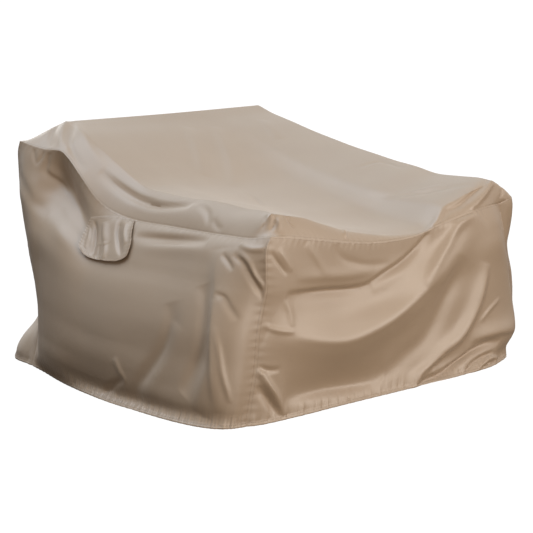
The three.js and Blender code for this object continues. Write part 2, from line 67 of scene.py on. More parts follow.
def hermite(knots, values, at):
    """Smooth values between knots, for one number or a row of them at each knot."""
    knots, values, at = np.array(knots, float), np.array(values, float), np.asarray(at, float)
    slopes = np.gradient(values, knots, axis=0)
    k = np.clip(np.searchsorted(knots, at, side="right") - 1, 0, len(knots) - 2)
    shape = at.shape + (1,) * (values.ndim - 1)
    h = (knots[k + 1] - knots[k]).reshape(shape)
    t = ((at - knots[k]).reshape(shape)) / h
    ease = t * t * (3 - 2 * t)
    bow = h * t * (1 - t) * ((1 - t) * slopes[k] - t * slopes[k + 1])
    return values[k] * (1 - ease) + values[k + 1] * ease + bow


def path_lengths(points):
    """How far each point of a path lies from its first one, along the path."""
    return np.r_[0, np.cumsum(np.linalg.norm(np.diff(points, axis=0), axis=1))]


def line(start, rows, end):
    """A smooth curve through a table's rows, which gives the point at a share of its length."""
    points = np.array([start, *rows, end], float)
    knots = np.r_[0, np.cumsum(np.linalg.norm(np.diff(points, axis=0), axis=1) ** 0.5)]
    fine = hermite(knots, points, np.linspace(0, knots[-1], LINE_STEPS))
    arc = path_lengths(fine)

    def at(share):
        place = np.asarray(share, float) * arc[-1]
        return np.stack([np.interp(place, arc, fine[:, axis]) for axis in range(3)], -1)

    return at


# Where the cloth breaks over the furniture, from corner to corner
breaks = {
    "front": line(broken["FL"], [
        (-462, -8, 640), (-404, -8, 628), (-331, -8, 603), (-256, -8, 579), (-213, -8, 566),
        (-141, -12, 550), (-77, -16, 538), (-3, -20, 527), (58, -22, 523), (120, -20, 524),
        (180, -14, 533), (225, -8, 556), (275, -6, 590), (355, -8, 612), (452, -8, 638)],
        broken["FR"]),
    "back": line(broken["BL"], [(0, 1113, 858)], broken["BR"]),
    "left": line(broken["FL"], [
        (-514, 60, 654), (-503, 153, 650), (-500, 232, 655), (-500, 313, 658), (-500, 390, 656),
        (-500, 520, 660), (-500, 628, 668), (-500, 690, 686), (-499, 786, 730), (-497, 888, 782),
        (-493, 985, 826), (-485, 1060, 848)], broken["BL"]),
    "right": line(broken["FR"], [
        (545, 41, 665), (533, 132, 665), (525, 226, 666), (520, 322, 684), (517, 420, 697),
        (512, 519, 715), (508, 621, 733), (504, 725, 755), (500, 832, 779), (496, 940, 807),
        (488, 1051, 836)], broken["BR"]),
}
# The seam between the top and the skirts
seams = {
    "front": line(sewn["FL"], [
        (-495, -36, 580), (-405, -36, 564), (-313, -36, 548), (-219, -36, 532), (-98, -36, 517),
        (26, -36, 513), (102, -36, 516), (169, -36, 526), (232, -36, 541), (322, -36, 556),
        (420, -36, 569), (520, -24, 575)], sewn["FR"]),
    "back": line(sewn["BL"], [(-300, 1168, 790), (0, 1165, 786), (300, 1168, 790)], sewn["BR"]),
    "left": line(sewn["FL"], [
        (-590, 45, 579), (-592, 158, 576), (-590, 278, 574), (-588, 426, 574), (-590, 602, 575),
        (-596, 683, 588), (-602, 745, 608), (-608, 790, 636), (-610, 868, 703), (-606, 938, 756),
        (-608, 975, 777), (-622, 1046, 779), (-632, 1100, 787)], sewn["BL"]),
    "right": line(sewn["FR"], [
        (643, -4, 583), (680, 6, 587), (674, 60, 579), (640, 140, 576), (618, 220, 580),
        (603, 400, 603), (594, 552, 633), (588, 707, 668), (582, 921, 725), (583, 1060, 770)],
        sewn["BR"]),
}

# A fold's path is drawn in so many steps for each point, and it dies away in so many widths
FOLD_STEPS = 8
FOLD_REACH = 3
# Folds of the top, chalked on the flat cloth: path, width of its two sides, height
top_folds = [
    ([(-440, 1115), (-505, 1040), (-570, 975), (-590, 920), (-597, 860)], 11, 12, -6),
    ([(-440, 1100), (-490, 1000), (-530, 900), (-540, 815)], 18, 20, 5),
    ([(-555, 820), (-555, 755), (-550, 690), (-550, 605), (-555, 525), (-545, 450),
       (-530, 370)], 10, 17, -14),
    ([(-470, 1115), (-510, 1085), (-550, 1050), (-600, 1000)], 10, 10, 8),
    ([(-480, 1130), (-505, 1122), (-545, 1100), (-620, 1045)], 10, 10, -8),
    ([(-525, 340), (-560, 255), (-595, 220)], 7, 10, -6),
    ([(-570, 220), (-590, 190), (-605, 150)], 6, 8, -4),
    ([(-500, 620), (-505, 500), (-503, 355), (-503, 220), (-505, 110), (-520, 30)], 6, 6, 3),
    ([(-535, 25), (-565, 5), (-595, -10)], 5, 5, -4),
    ([(-520, 5), (-550, -25), (-585, -40)], 6, 6, -7),
    ([(-505, -10), (-535, -35), (-560, -60)], 6, 6, 4),
    ([(-478, -5), (-485, -28), (-480, -50)], 6, 6, -8),
    ([(-215, -5), (-238, -28), (-245, -48)], 7, 6, 8),
    ([(550, 8), (455, -18), (360, -32), (285, -28), (235, -34)], 14, 12, -9),
    ([(570, -2), (520, -30), (460, -52), (400, -62)], 14, 16, 8),
    ([(600, 10), (622, -15), (638, -55)], 8, 8, -5),
    ([(290, -15), (245, -25), (200, -35)], 10, 14, 6),
    ([(15, 1005), (-90, 835), (-180, 710)], 34, 22, 5),
    ([(140, 990), (10, 775), (-120, 620)], 34, 22, 5),
    ([(380, 990), (340, 900), (310, 830)], 30, 20, 4),
    ([(-125, 545), (-155, 470), (-240, 335)], 8, 8, -3),
    ([(215, 280), (335, 140), (485, 15)], 20, 20, -4),
    ([(270, 210), (350, 160), (425, 110)], 14, 14, 3),
    ([(360, 470), (465, 445), (470, 345)], 8, 8, -3),
]


def fold_heights(folds, flat):
    """Height of all the folds at places on the flat cloth. Each fades out at both its ends."""
    total = np.zeros(flat.shape[:-1])
    for path, wide, steep, height in folds:
        path = np.array(path, float)
        if len(path) > 2:
            knots = path_lengths(path)
            path = hermite(knots, path, np.linspace(0, knots[-1], FOLD_STEPS * len(path)))
        reach = FOLD_REACH * max(wide, steep)
        near = np.all((flat > path.min(0) - reach) & (flat < path.max(0) + reach), axis=-1)
        spots = flat[near]
        runs = np.diff(path, axis=0)
        lengths = np.linalg.norm(runs, axis=1)
        places = path_lengths(path)
        best = np.full(len(spots), np.inf)
        side, along = np.zeros(len(spots)), np.zeros(len(spots))
        for start, run, length, before in zip(path, runs, lengths, places):
            step = spots - start
            share = np.clip(step @ run / length ** 2, 0, 1)
            distance = np.linalg.norm(step - share[:, None] * run, axis=1)
            closer = distance < best
            best[closer] = distance[closer]
            side[closer] = (run[0] * step[:, 1] - run[1] * step[:, 0])[closer]
            along[closer] = (before + share * length)[closer] / places[-1]
        width = np.where(side > 0, wide, steep)
        fade = (4 * along * (1 - along)) ** 0.7
        total[near] += height * fade * np.exp(-(best / width) ** 2)
    return total


def ripples(place, length, seed):
    """Uneven waves along a line, each about that long, between -1 and 1."""
    draw = np.random.default_rng(seed)
    count = int(np.ptp(place) / length * 2) + 6
    knots = np.linspace(place.min() - length, place.max() + length, count)
    knots[1:-1] += draw.uniform(-0.3, 0.3, count - 2) * (knots[1] - knots[0])
    heights = draw.uniform(0.3, 1, count) * np.where(np.arange(count) % 2, 1, -1)
    return hermite(knots, heights, place)


def coons(near, far, first, last, s, t):
    """A smooth sheet between four edges that share their corners, at shares s across and t down."""
    s3, t3 = s[..., None], t[..., None]
    edges = (1 - t3) * near(s) + t3 * far(s) + (1 - s3) * first(t) + s3 * last(t)
    corners = ((1 - s3) * (1 - t3) * near(0) + s3 * (1 - t3) * near(1)
               + (1 - s3) * t3 * far(0) + s3 * t3 * far(1))
    return edges - corners


def seam_shares(cells, fall):
    """Shares over the hollow, down the fall to the seam, and along the seam, for each column."""
    i = np.arange(-fall, cells + fall + 1)
    over = np.clip(i / cells, 0, 1)
    drop = np.where(i < 0, i, np.maximum(i - cells, 0)) / fall
    return over, drop, SEAM_STRIP * (1 + drop) + (1 - 2 * SEAM_STRIP) * over


def fall_to_seam(start, end, share, round_):
    """The cloth's fall from where it breaks over an edge to the seam: straight, or more rounded."""
    out = round_ * np.sin(share * np.pi / 2) ** 0.9 + (1 - round_) * share
    down = round_ * (1 - np.maximum(np.cos(share * np.pi / 2), 0) ** 1.2) + (1 - round_) * share
    return start + (end - start) * np.stack([out, out, down], -1)


def grid_normals(points, turned):
    """Outward directions of a grid's sheet. On a turned one, seen from outside, the columns run to
    the right and the rows down."""
    normals = np.cross(np.gradient(points, axis=1), np.gradient(points, axis=0))
    normals /= np.linalg.norm(normals, axis=-1, keepdims=True)
    return -normals if turned else normals


def top_grid():
    """The top's base sheet and its flat cloth: the hollow, the four falls and the corners."""
    over_x, drop_x, along_x = seam_shares(TOP_CELLS["across"], TOP_CELLS["fall"])
    over_y, drop_y, along_y = seam_shares(TOP_CELLS["along"], TOP_CELLS["fall"])
    s, t = np.meshgrid(over_x, over_y)
    a, b = np.meshgrid(np.abs(drop_x), np.abs(drop_y))
    round_x = np.where(drop_x[None] > 0, FALL_ROUND["right"], hermite(LEFT_ROUND_AT, LEFT_ROUND, t))
    round_y = np.full(s.shape, FALL_ROUND["ends"])
    inner = coons(breaks["front"], breaks["back"], breaks["left"], breaks["right"], s, t)
    x_side = np.where(drop_x > 0, 1, 0)[None, :, None]
    y_side = np.where(drop_y > 0, 1, 0)[:, None, None]
    on_x = np.where(x_side, seams["right"](along_y)[:, None], seams["left"](along_y)[:, None])
    on_y = np.where(y_side, seams["back"](along_x)[None], seams["front"](along_x)[None])
    strip_y = np.where(over_y < 0.5, SEAM_STRIP, 1 - SEAM_STRIP)
    strip_x = np.where(over_x < 0.5, SEAM_STRIP, 1 - SEAM_STRIP)
    end_x = np.where(x_side, seams["right"](strip_y)[:, None], seams["left"](strip_y)[:, None])
    end_y = np.where(y_side, seams["back"](strip_x)[None], seams["front"](strip_x)[None])
    corner = np.where(y_side, seams["back"](over_x)[None], seams["front"](over_x)[None])
    a3, b3 = a[..., None], b[..., None]
    edges = ((1 - a3) * fall_to_seam(inner, end_y, b, round_y) + a3 * on_x
             + (1 - b3) * fall_to_seam(inner, end_x, a, round_x) + b3 * on_y)
    corners = ((1 - a3) * (1 - b3) * inner + a3 * (1 - b3) * end_x
               + (1 - a3) * b3 * end_y + a3 * b3 * corner)
    points = np.where((a3 > 0) & (b3 > 0), edges - corners, inner)
    points = np.where((a3 > 0) & (b3 == 0), fall_to_seam(inner, on_x, a, round_x), points)
    points = np.where((a3 == 0) & (b3 > 0), fall_to_seam(inner, on_y, b, round_y), points)
    reach_x = np.linalg.norm(np.where(b3 == 0, on_x, end_x) - inner, axis=-1)
    reach_y = np.linalg.norm(np.where(a3 == 0, on_y, end_y) - inner, axis=-1)
    flat_x = inner[..., 0] + drop_x[None] * reach_x
    flat_y = inner[..., 1] + drop_y[:, None] * reach_y
    return points, np.stack([flat_x, flat_y], -1)


def clear_of_seams(distance):
    """How much of a fold shows beside a seam, from none at the seam itself."""
    share = np.clip(distance / FOLDS_FROM, 0, 1)
    return share ** 2 * (3 - 2 * share)


def sewn_edge(distance, along, seed, depth=0.7, length=30, reach=16, roll=0.35):
    """Cloth beside a seam: small uneven puckers, so deep and long, that reach so far in, and a roll
    down into the stitches."""
    pucker = depth * ripples(along, length, seed) * np.exp(-distance / reach)
    rolled = roll * (1 - np.exp(-distance / ROLL[0])) * np.exp(-distance / ROLL[1])
    return pucker * (1 - np.exp(-distance / SEAM_HOLDS)) + rolled


def sheet_mesh(name, points, flat, turned, node):
    """A sheet from a grid of points, its own flat cloth as UV map in metres, with its thickness."""
    rows, columns = points.shape[:2]
    k = np.arange(rows * columns).reshape(rows, columns)
    corners = [k[:-1, :-1], k[:-1, 1:], k[1:, 1:], k[1:, :-1]]
    faces = np.stack(corners[::-1] if turned else corners, -1).reshape(-1, 4)
    mesh = bpy.data.meshes.new(name)
    placed = (points - (*PLAN_CENTRE, 0)) * MM
    mesh.from_pydata(placed.reshape(-1, 3).tolist(), [], faces.tolist())
    uv = mesh.uv_layers.new(name="cloth")
    uv.data.foreach_set("uv", (flat.reshape(-1, 2)[faces.ravel()] * MM).ravel())
    piece = bpy.data.objects.new(name, mesh)
    bpy.context.collection.objects.link(piece)
    thick = piece.modifiers.new("thickness", "SOLIDIFY")
    thick.thickness = CLOTH * MM
    thick.offset = -1
    mesh.polygons.foreach_set("use_smooth", [True] * len(faces))
    bpy.ops.object.select_all(action="DESELECT")
    piece.select_set(True)
    bpy.context.view_layer.objects.active = piece
    bpy.ops.object.modifier_apply(modifier="thickness")
    mesh.set_sharp_from_angle(angle=SMOOTH_ANGLE)
    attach(piece, "root")
    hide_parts(node)
    return piece


# The rows of a sheet next to its edge that can hold stitches
ROWS_BESIDE = 60


def beside(points, turned, edge, distance):
    """The line on a sheet at a distance in from one of its edges, and the outward directions there."""
    both = np.concatenate([points, grid_normals(points, turned)], -1)
    if edge in ("first", "last"):
        both = both.transpose(1, 0, 2)
    if edge in ("far", "last"):
        both = both[::-1]
    both = both[:ROWS_BESIDE]
    gaps = np.linalg.norm(np.diff(both[..., :3], axis=0), axis=-1)
    run = np.concatenate([np.zeros((1, both.shape[1])), np.cumsum(gaps, axis=0)])
    return np.array([[np.interp(distance, run[:, c], both[:, c, axis]) for axis in range(6)]
                     for c in range(both.shape[1])])


# A stitch is a low block of thread, a little smaller at its top. The stitches are drawn about twice
# as far apart as real ones, so that they show
STITCH = {"length": 3.2, "width": 0.8, "height": 0.6, "top": 0.8, "spacing": 5.0}
BLOCK_SIDES = np.array([(3, 2, 1, 0), (4, 5, 6, 7), (0, 1, 5, 4), (1, 2, 6, 5), (2, 3, 7, 6), (3, 0, 4, 7)])


def stitching(name, points, turned, rows):
    """Lock stitches of a panel as one mesh. Each row is an edge, how far in from it and a trim."""
    x, y, z = (STITCH[size] / 2 for size in ("length", "width", "height"))
    block = np.array([(i * x * k, j * y * k, level) for level, k in ((-z, 1), (z, STITCH["top"]))
                      for i, j in ((-1, -1), (1, -1), (1, 1), (-1, 1))])
    spots = []
    for edge, distance, trim in rows:
        course = beside(points, turned, edge, distance)
        arc = path_lengths(course[:, :3])
        middle = np.arange(trim, arc[-1] - trim, STITCH["spacing"])
        place, ahead = (np.stack([np.interp(middle + d, arc, course[:, axis]) for axis in range(6)], -1)
                        for d in (0, 1))
        spots.append(np.concatenate([place, ahead[:, :3] - place[:, :3]], -1))
    spots = np.concatenate(spots)
    out = spots[:, 3:6] / np.linalg.norm(spots[:, 3:6], axis=1, keepdims=True)
    run = spots[:, 6:] / np.linalg.norm(spots[:, 6:], axis=1, keepdims=True)
    over = np.cross(out, run)
    axes = np.stack([run, over, out], 1)
    corners = spots[:, None, :3] + block[None] @ axes
    faces = BLOCK_SIDES[None] + len(block) * np.arange(len(spots))[:, None, None]
    mesh = bpy.data.meshes.new(name)
    mesh.from_pydata(((corners - (*PLAN_CENTRE, 0)) * MM).reshape(-1, 3).tolist(), [],
                     faces.reshape(-1, 4).tolist())
    piece = bpy.data.objects.new(name, mesh)
    bpy.context.collection.objects.link(piece)
    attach(piece, "root")
    return piece


def linear(code):
    """A colour written as sRGB hex, as the linear values that a shader takes."""
    values = [int(code[i:i + 2], 16) / 255 for i in (1, 3, 5)]
    return (*[v / 12.92 if v <= 0.04045 else ((v + 0.055) / 1.055) ** 2.4 for v in values], 1)


def add_node(tree, kind, settings=(), links=()):
    """Adds a shader node, sets its values and sockets, and links its inputs."""
    node = tree.nodes.new(kind)
    for key, value in dict(settings).items():
        if key in node.inputs:
            node.inputs[key].default_value = value
        else:
            setattr(node, key, value)
    for key, socket in dict(links).items():
        tree.links.new(socket, node.inputs[key])
    return node


def spot_scale(size):
    """Scale of a noise texture on metres whose spots are about that many mm across."""
    return 1 / (size * MM)


def band_scale(spacing):
    """Scale of a wave texture on metres whose bands lie that many mm apart."""
    return np.pi / 10 / (spacing * MM)


def coated_polyester(name, light, dark):
    """Woven polyester with a thin polyurethane coat: matt thread with a soft satin sheen on top. The
    dye is faintly uneven in spots of 200 mm, and the coat has crumples of 26 mm or so. The weave's
    threads are drawn 1.6 mm apart, four times their real spacing, so that they show."""
    material = bpy.data.materials.new(name)
    material.use_nodes = True
    tree = material.node_tree
    shader = tree.nodes["Principled BSDF"]
    uv = add_node(tree, "ShaderNodeUVMap", {"uv_map": "cloth"})
    space = add_node(tree, "ShaderNodeTexCoord")
    blotch = add_node(tree, "ShaderNodeTexNoise", {"Scale": spot_scale(200), "Detail": 4.0,
                      "Roughness": 0.6}, {"Vector": space.outputs["Object"]})
    colour = add_node(tree, "ShaderNodeMix", {"data_type": "RGBA"}, {"Factor": blotch.outputs["Fac"]})
    colour.inputs[6].default_value = linear(dark)
    colour.inputs[7].default_value = linear(light)
    weave = add_node(tree, "ShaderNodeMath", {"operation": "MULTIPLY"})
    for direction, factor in zip("XY", weave.inputs):
        threads = add_node(tree, "ShaderNodeTexWave", {"Scale": band_scale(1.6), "Distortion": 0.6,
                           "Detail": 1.0, "bands_direction": direction}, {"Vector": uv.outputs["UV"]})
        tree.links.new(threads.outputs["Fac"], factor)
    crumple = add_node(tree, "ShaderNodeTexNoise", {"Scale": spot_scale(26.3), "Detail": 3.0,
                       "Roughness": 0.55}, {"Vector": space.outputs["Object"]})
    soft = add_node(tree, "ShaderNodeBump", {"Strength": 0.35, "Distance": 1.2 * MM},
                    {"Height": crumple.outputs["Fac"]})
    fine = add_node(tree, "ShaderNodeBump", {"Strength": 0.25, "Distance": 0.3 * MM},
                    {"Height": weave.outputs["Value"], "Normal": soft.outputs["Normal"]})
    tree.links.new(colour.outputs[2], shader.inputs["Base Color"])
    tree.links.new(fine.outputs["Normal"], shader.inputs["Normal"])
    for socket, value in {"Roughness": 0.5, "IOR": 1.45, "Coat Weight": 0.75, "Coat Roughness": 0.44,
                          "Sheen Weight": 0.06, "Sheen Roughness": 0.5}.items():
        shader.inputs[socket].default_value = value
    return material


def spun_polyester_thread(name, colour):
    """Sewing thread spun from polyester and dyed a little darker than the cloth, with no coat."""
    material = bpy.data.materials.new(name)
    material.use_nodes = True
    shader = material.node_tree.nodes["Principled BSDF"]
    shader.inputs["Base Color"].default_value = linear(colour)
    shader.inputs["Roughness"].default_value = 0.7
    return material


top_points, top_flat = top_grid()
edge_x = np.minimum(top_flat[..., 0] - top_flat[:, :1, 0], top_flat[:, -1:, 0] - top_flat[..., 0])
edge_y = np.minimum(top_flat[..., 1] - top_flat[:1, :, 1], top_flat[-1:, :, 1] - top_flat[..., 1])
top_height = fold_heights(top_folds, top_flat) * clear_of_seams(np.minimum(edge_x, edge_y))
front_and_back = sewn_edge(edge_y, top_flat[..., 0], seed=11, depth=0.9, length=26, reach=14,
                           roll=0.9)
left_and_right = sewn_edge(edge_x, top_flat[..., 1], seed=12)
top_height += np.where(edge_y < edge_x, front_and_back, left_and_right)
top_points = top_points + grid_normals(top_points, False) * top_height[..., None]
top = sheet_mesh("top_panel_cloth", top_points, top_flat, False, "top_panel")
cloth = coated_polyester("coated_polyester", "#A58D74", "#9D856C")
thread = spun_polyester_thread("spun_polyester_thread", "#7C6853")
top.data.materials.append(cloth)
top_rows = [(edge, 5, 30) for edge in ("near", "far", "first", "last")]
top_thread = stitching("top_panel_stitching", top_points, False, top_rows)
top_thread.data.materials.append(thread)

# Skirts
# Four pieces of the same cloth, sewn to the top all round and to each other at the corners. Each
# falls to the floor and ends in a folded hem, stitched a finger's width above the edge.
# Height of the hem, of its stitches and of its rolled lip above the lower edge
HEM = 14
HEM_STITCHES = 11
HEM_LIP = 3
SKIRT_WIDTH = {"front": 1170, "left": 1250, "right": 1230, "back": 1190}
# Rows of a skirt's sheet: mm below the top seam, how many between, and mm above the lower edge
SEAM_ROWS = [0, 1.5, 3, 5, 8, 12, 16]
MIDDLE_ROWS = {"front": 90, "left": 110, "right": 60, "back": 60}
HEM_ROWS = [30, 25, 21, 18, 16, 14.5, 13, 11.5, 9.5, 7, 4.5, 3, 1.5, 0]

# Where the corners stand on the floor, and the lower edge between them
hem_feet = {"FL": (-674, -25, 0), "FR": (706, 48, 0), "BL": (-660, 1100, 0), "BR": (625, 1262, 0)}
hems = {
    "front": line(hem_feet["FL"], [
        (-630, -41, 0), (-465, -53, 0), (-278, -55, 0), (5, -64, 0), (105, -67, 0), (372, -68, 0),
        (493, -61, 0), (585, -34, 0), (660, 0, 0)], hem_feet["FR"]),
    "back": line(hem_feet["BL"], [
        (-652, 1150, 0), (-648, 1192, 0), (-632, 1238, 0), (-602, 1274, 0), (-550, 1290, 0),
        (-430, 1286, 0), (-200, 1270, 0), (0, 1276, 0), (250, 1268, 0), (450, 1282, 0),
        (580, 1286, 0)], hem_feet["BR"]),
    "left": line(hem_feet["FL"], [
        (-729, -9, 0), (-763, 24, 0), (-785, 80, 0), (-797, 160, 0), (-800, 250, 0),
        (-797, 393, 0), (-793, 497, 0), (-772, 658, 0), (-760, 724, 0), (-735, 837, 0),
        (-690, 988, 0)], hem_feet["BL"]),
    "right": line(hem_feet["FR"], [
        (740, 130, 0), (765, 260, 0), (764, 480, 0), (740, 720, 0), (695, 980, 0),
        (655, 1180, 0)], hem_feet["BR"]),
}
# The upright seams at the corners, from the top seam down
posts = {
    "FL": line(sewn["FL"], [
        (-594, -32, 551), (-598, -34, 425), (-607, -30, 376), (-626, -28, 290), (-637, -28, 189),
        (-664, -26, 49)], hem_feet["FL"]),
    "FR": line(sewn["FR"], [
        (628, 3, 491), (650, 8, 425), (692, 25, 349), (716, 35, 280), (746, 45, 204),
        (764, 50, 119), (757, 52, 80), (723, 50, 45)], hem_feet["FR"]),
    "BL": line(sewn["BL"], [
        (-640, 1180, 766), (-640, 1180, 716), (-640, 1173, 631), (-638, 1163, 589),
        (-638, 1148, 494), (-637, 1136, 410), (-633, 1117, 325), (-629, 1101, 235),
        (-630, 1095, 150), (-641, 1097, 70)], hem_feet["BL"]),
    "BR": line(sewn["BR"], [
        (596, 1205, 720), (598, 1212, 600), (600, 1190, 400), (610, 1215, 180)], hem_feet["BR"]),
}

# How far a skirt stands out from a straight fall in mm: a row for each share of its width, with a
# value for each share of its drop
SWELL_DROPS = [0, 0.04, 0.1, 0.16, 0.22, 0.29, 0.36, 0.5, 0.66, 0.82, 0.9, 0.95, 1]
swells = {
    "front": [
        (0.0, 0, 0, 0, 0, 0, 0, 0, 0, 0, 0, 0, 0, 0),
        (0.2, 0, -1, -3, -5, -8, -10, -8, 0, 4, 0, -2, -2, 0),
        (0.5, 0, -2, -5, -6, -6, -6, -4, 4, 4, -2, -4, -3, 0),
        (0.8, 0, -2, -5, -4, -2, 0, 2, 4, 2, 0, -2, -2, 0),
        (0.94, 0, 4, 8, 9, 10, 9, 8, 6, 4, 6, 2, -4, 0),
        (1.0, 0, 0, 0, 0, 0, 0, 0, 0, 0, 0, 0, 0, 0)],
    "back": [
        (0.0, 0, 0, 0, 0, 0, 0, 0, 0, 0, 0, 0, 0, 0),
        (0.06, 0, 0, 0, -2, -4, -8, -16, -34, -52, -26, 4, 10, 0),
        (0.16, 0, 2, 4, 4, 2, -2, -10, -26, -38, -16, 2, 6, 0),
        (0.5, 0, 4, 9, 12, 14, 14, 12, 9, 6, 4, 3, 2, 0),
        (1.0, 0, 0, 0, 0, 0, 0, 0, 0, 0, 0, 0, 0, 0)],
    "left": [
        (0.0, 0, 0, 0, 0, 0, 0, 0, 0, 0, 0, 0, 0, 0),
        (0.06, 0, 5, 12, 18, 22, 25, 26, 23, 18, 12, 6, 0, 0),
        (0.15, 0, 8, 20, 30, 39, 46, 50, 47, 36, 22, 10, -2, 0),
        (0.3, 0, 8, 20, 32, 43, 53, 60, 62, 51, 32, 16, -4, 0),
        (0.5, 0, 10, 24, 38, 52, 64, 74, 76, 70, 48, 20, -6, 0),
        (0.65, 0, 0, 0, 6, 26, 50, 66, 74, 74, 60, 36, 10, 0),
        (0.75, 0, -8, -20, -26, 16, 60, 74, 78, 82, 74, 58, 34, 0),
        (0.84, 0, -10, -24, -26, 12, 54, 76, 78, 82, 74, 60, 40, 0),
        (0.9, 0, 8, 20, 40, 58, 70, 75, 67, 62, 58, 48, 34, 0),
        (0.95, 0, 12, 27, 39, 47, 49, 44, 29, 20, 22, 22, 18, 0),
        (1.0, 0, 0, 0, 0, 0, 0, 0, 0, 0, 0, 0, 0, 0)],
    "right": [
        (0.0, 0, 0, 0, 0, 0, 0, 0, 0, 0, 0, 0, 0, 0),
        (0.06, 0, 4, 3, -2, -8, -16, -14, 4, 8, 0, -6, -6, 0),
        (0.2, 0, 0, 0, -2, -6, -10, -12, -12, -22, -38, -42, -28, 0),
        (0.5, 0, 0, 0, -2, -4, -4, -2, 0, 3, 4, 3, 2, 0),
        (0.9, 0, 1, 4, 6, 8, 8, 7, 6, 4, 0, 0, 0, 0),
        (1.0, 0, 0, 0, 0, 0, 0, 0, 0, 0, 0, 0, 0, 0)],
}
# Folds of the skirts, on their flat cloth from the first corner and down: path, widths, height
skirt_folds = {
    "front": [
        ([(30, 295), (90, 315), (185, 325), (310, 325), (450, 280), (635, 195), (835, 110),
           (1000, 10)], 62, 66, 30),
        ([(110, 320), (310, 325), (450, 280), (635, 195), (765, 135)], 14, 20, 4),
        ([(80, 185), (245, 165), (355, 155), (450, 140)], 26, 8, -13),
        ([(405, 150), (515, 105), (590, 80), (670, 45), (745, 0)], 18, 7, -11),
        ([(115, 130), (245, 120), (355, 110), (465, 95)], 14, 24, 4),
        ([(105, 510), (240, 485), (400, 470), (490, 460)], 26, 60, -18),
        ([(460, 465), (550, 405), (655, 350), (725, 285), (790, 220), (870, 130)], 34, 34, -10),
        ([(610, 515), (665, 460), (720, 425), (790, 410), (855, 365), (910, 310),
           (985, 195)], 16, 34, 17),
        ([(630, 515), (665, 505), (735, 505), (800, 495), (860, 475), (915, 470),
           (995, 490)], 20, 9, -14),
        ([(972, 4), (890, 26), (815, 70), (735, 112), (655, 165)], 15, 20, 8),
        ([(1160, 20), (1155, 80), (1140, 150)], 14, 12, 4),
        ([(845, 435), (925, 445), (1010, 460), (1120, 485)], 11, 30, 9),
        ([(845, 555), (870, 535), (920, 525), (980, 530)], 9, 9, -8),
        ([(875, 560), (905, 555), (955, 545), (1030, 565)], 8, 8, 7),
        ([(20, 50), (50, 85), (80, 120)], 6, 5, -6),
        ([(45, 40), (75, 75), (100, 110)], 9, 9, 4),
        ([(160, 15), (210, 60), (255, 120)], 14, 16, 2.5),
        ([(285, 10), (320, 50), (390, 70), (550, 75)], 12, 14, -2.5),
        ([(5, 410), (45, 465), (85, 515), (115, 565)], 12, 9, 12),
        ([(15, 470), (60, 520), (105, 570)], 15, 9, -10),
        ([(5, 275), (55, 295), (120, 300)], 7, 7, 5),
        ([(0, 405), (35, 420), (80, 420)], 7, 7, -5),
        ([(80, 200), (100, 240), (110, 285)], 10, 14, 4),
        ([(895, 390), (955, 360), (1020, 340)], 8, 5, 4)],
    "left": [
        ([(325, 255), (310, 300), (320, 355), (350, 415), (410, 485), (480, 555),
           (525, 595)], 40, 26, -12),
        ([(285, 310), (305, 375), (345, 440), (395, 505), (465, 570)], 36, 26, 8),
        ([(212, 175), (182, 225), (168, 290), (175, 370), (210, 450), (250, 525)], 36, 22, -11),
        ([(165, 50), (145, 150), (135, 300), (150, 450), (180, 570)], 70, 34, 20),
        ([(150, 215), (140, 310), (135, 400), (125, 490), (110, 555)], 20, 15, 8),
        ([(125, 295), (115, 355), (105, 430), (75, 520)], 8, 8, 5),
        ([(112, 58), (77, 80), (55, 115), (35, 150), (5, 192)], 10, 8, -8),
        ([(90, 50), (55, 75), (35, 120), (5, 165)], 8, 7, 5),
        ([(152, 62), (122, 82), (100, 105)], 8, 8, -6),
        ([(148, 195), (118, 200), (95, 230), (70, 265)], 9, 12, -6),
        ([(100, 25), (45, 40), (5, 40)], 9, 9, 6),
        ([(575, 58), (440, 50), (345, 41), (235, 34)], 15, 15, -14),
        ([(545, 88), (420, 76), (305, 64), (195, 60)], 16, 26, 5),
        ([(580, 470), (560, 505), (530, 545)], 12, 15, 4),
        ([(685, 600), (620, 565), (535, 530)], 10, 12, -7),
        ([(1100, 8), (1102, 45), (1105, 76), (1070, 110), (1025, 138)], 10, 10, -8),
        ([(1235, 90), (1175, 135), (1110, 185), (1045, 230)], 20, 22, -6),
        ([(1125, 5), (1125, 35), (1140, 60)], 6, 6, -4),
        ([(1175, 5), (1155, 30), (1140, 55)], 6, 6, -4)],
    "back": [
        ([(300, 90), (290, 300), (320, 520), (345, 690)], 36, 40, 12),
        ([(470, 430), (480, 560), (455, 700)], 22, 24, 7),
        ([(640, 130), (660, 340), (630, 560), (612, 700)], 40, 36, -10),
        ([(930, 80), (915, 280), (945, 520)], 30, 36, 10)],
    "right": [
        ([(250, 100), (275, 250), (250, 410), (225, 560)], 30, 36, 11),
        ([(120, 330), (220, 400), (300, 500)], 18, 14, -7),
        ([(560, 70), (545, 220), (580, 400), (610, 580)], 36, 42, -10),
        ([(860, 120), (880, 300), (850, 480), (835, 640)], 32, 30, 11),
        ([(1080, 70), (1062, 210), (1090, 400)], 24, 28, 8)],
}


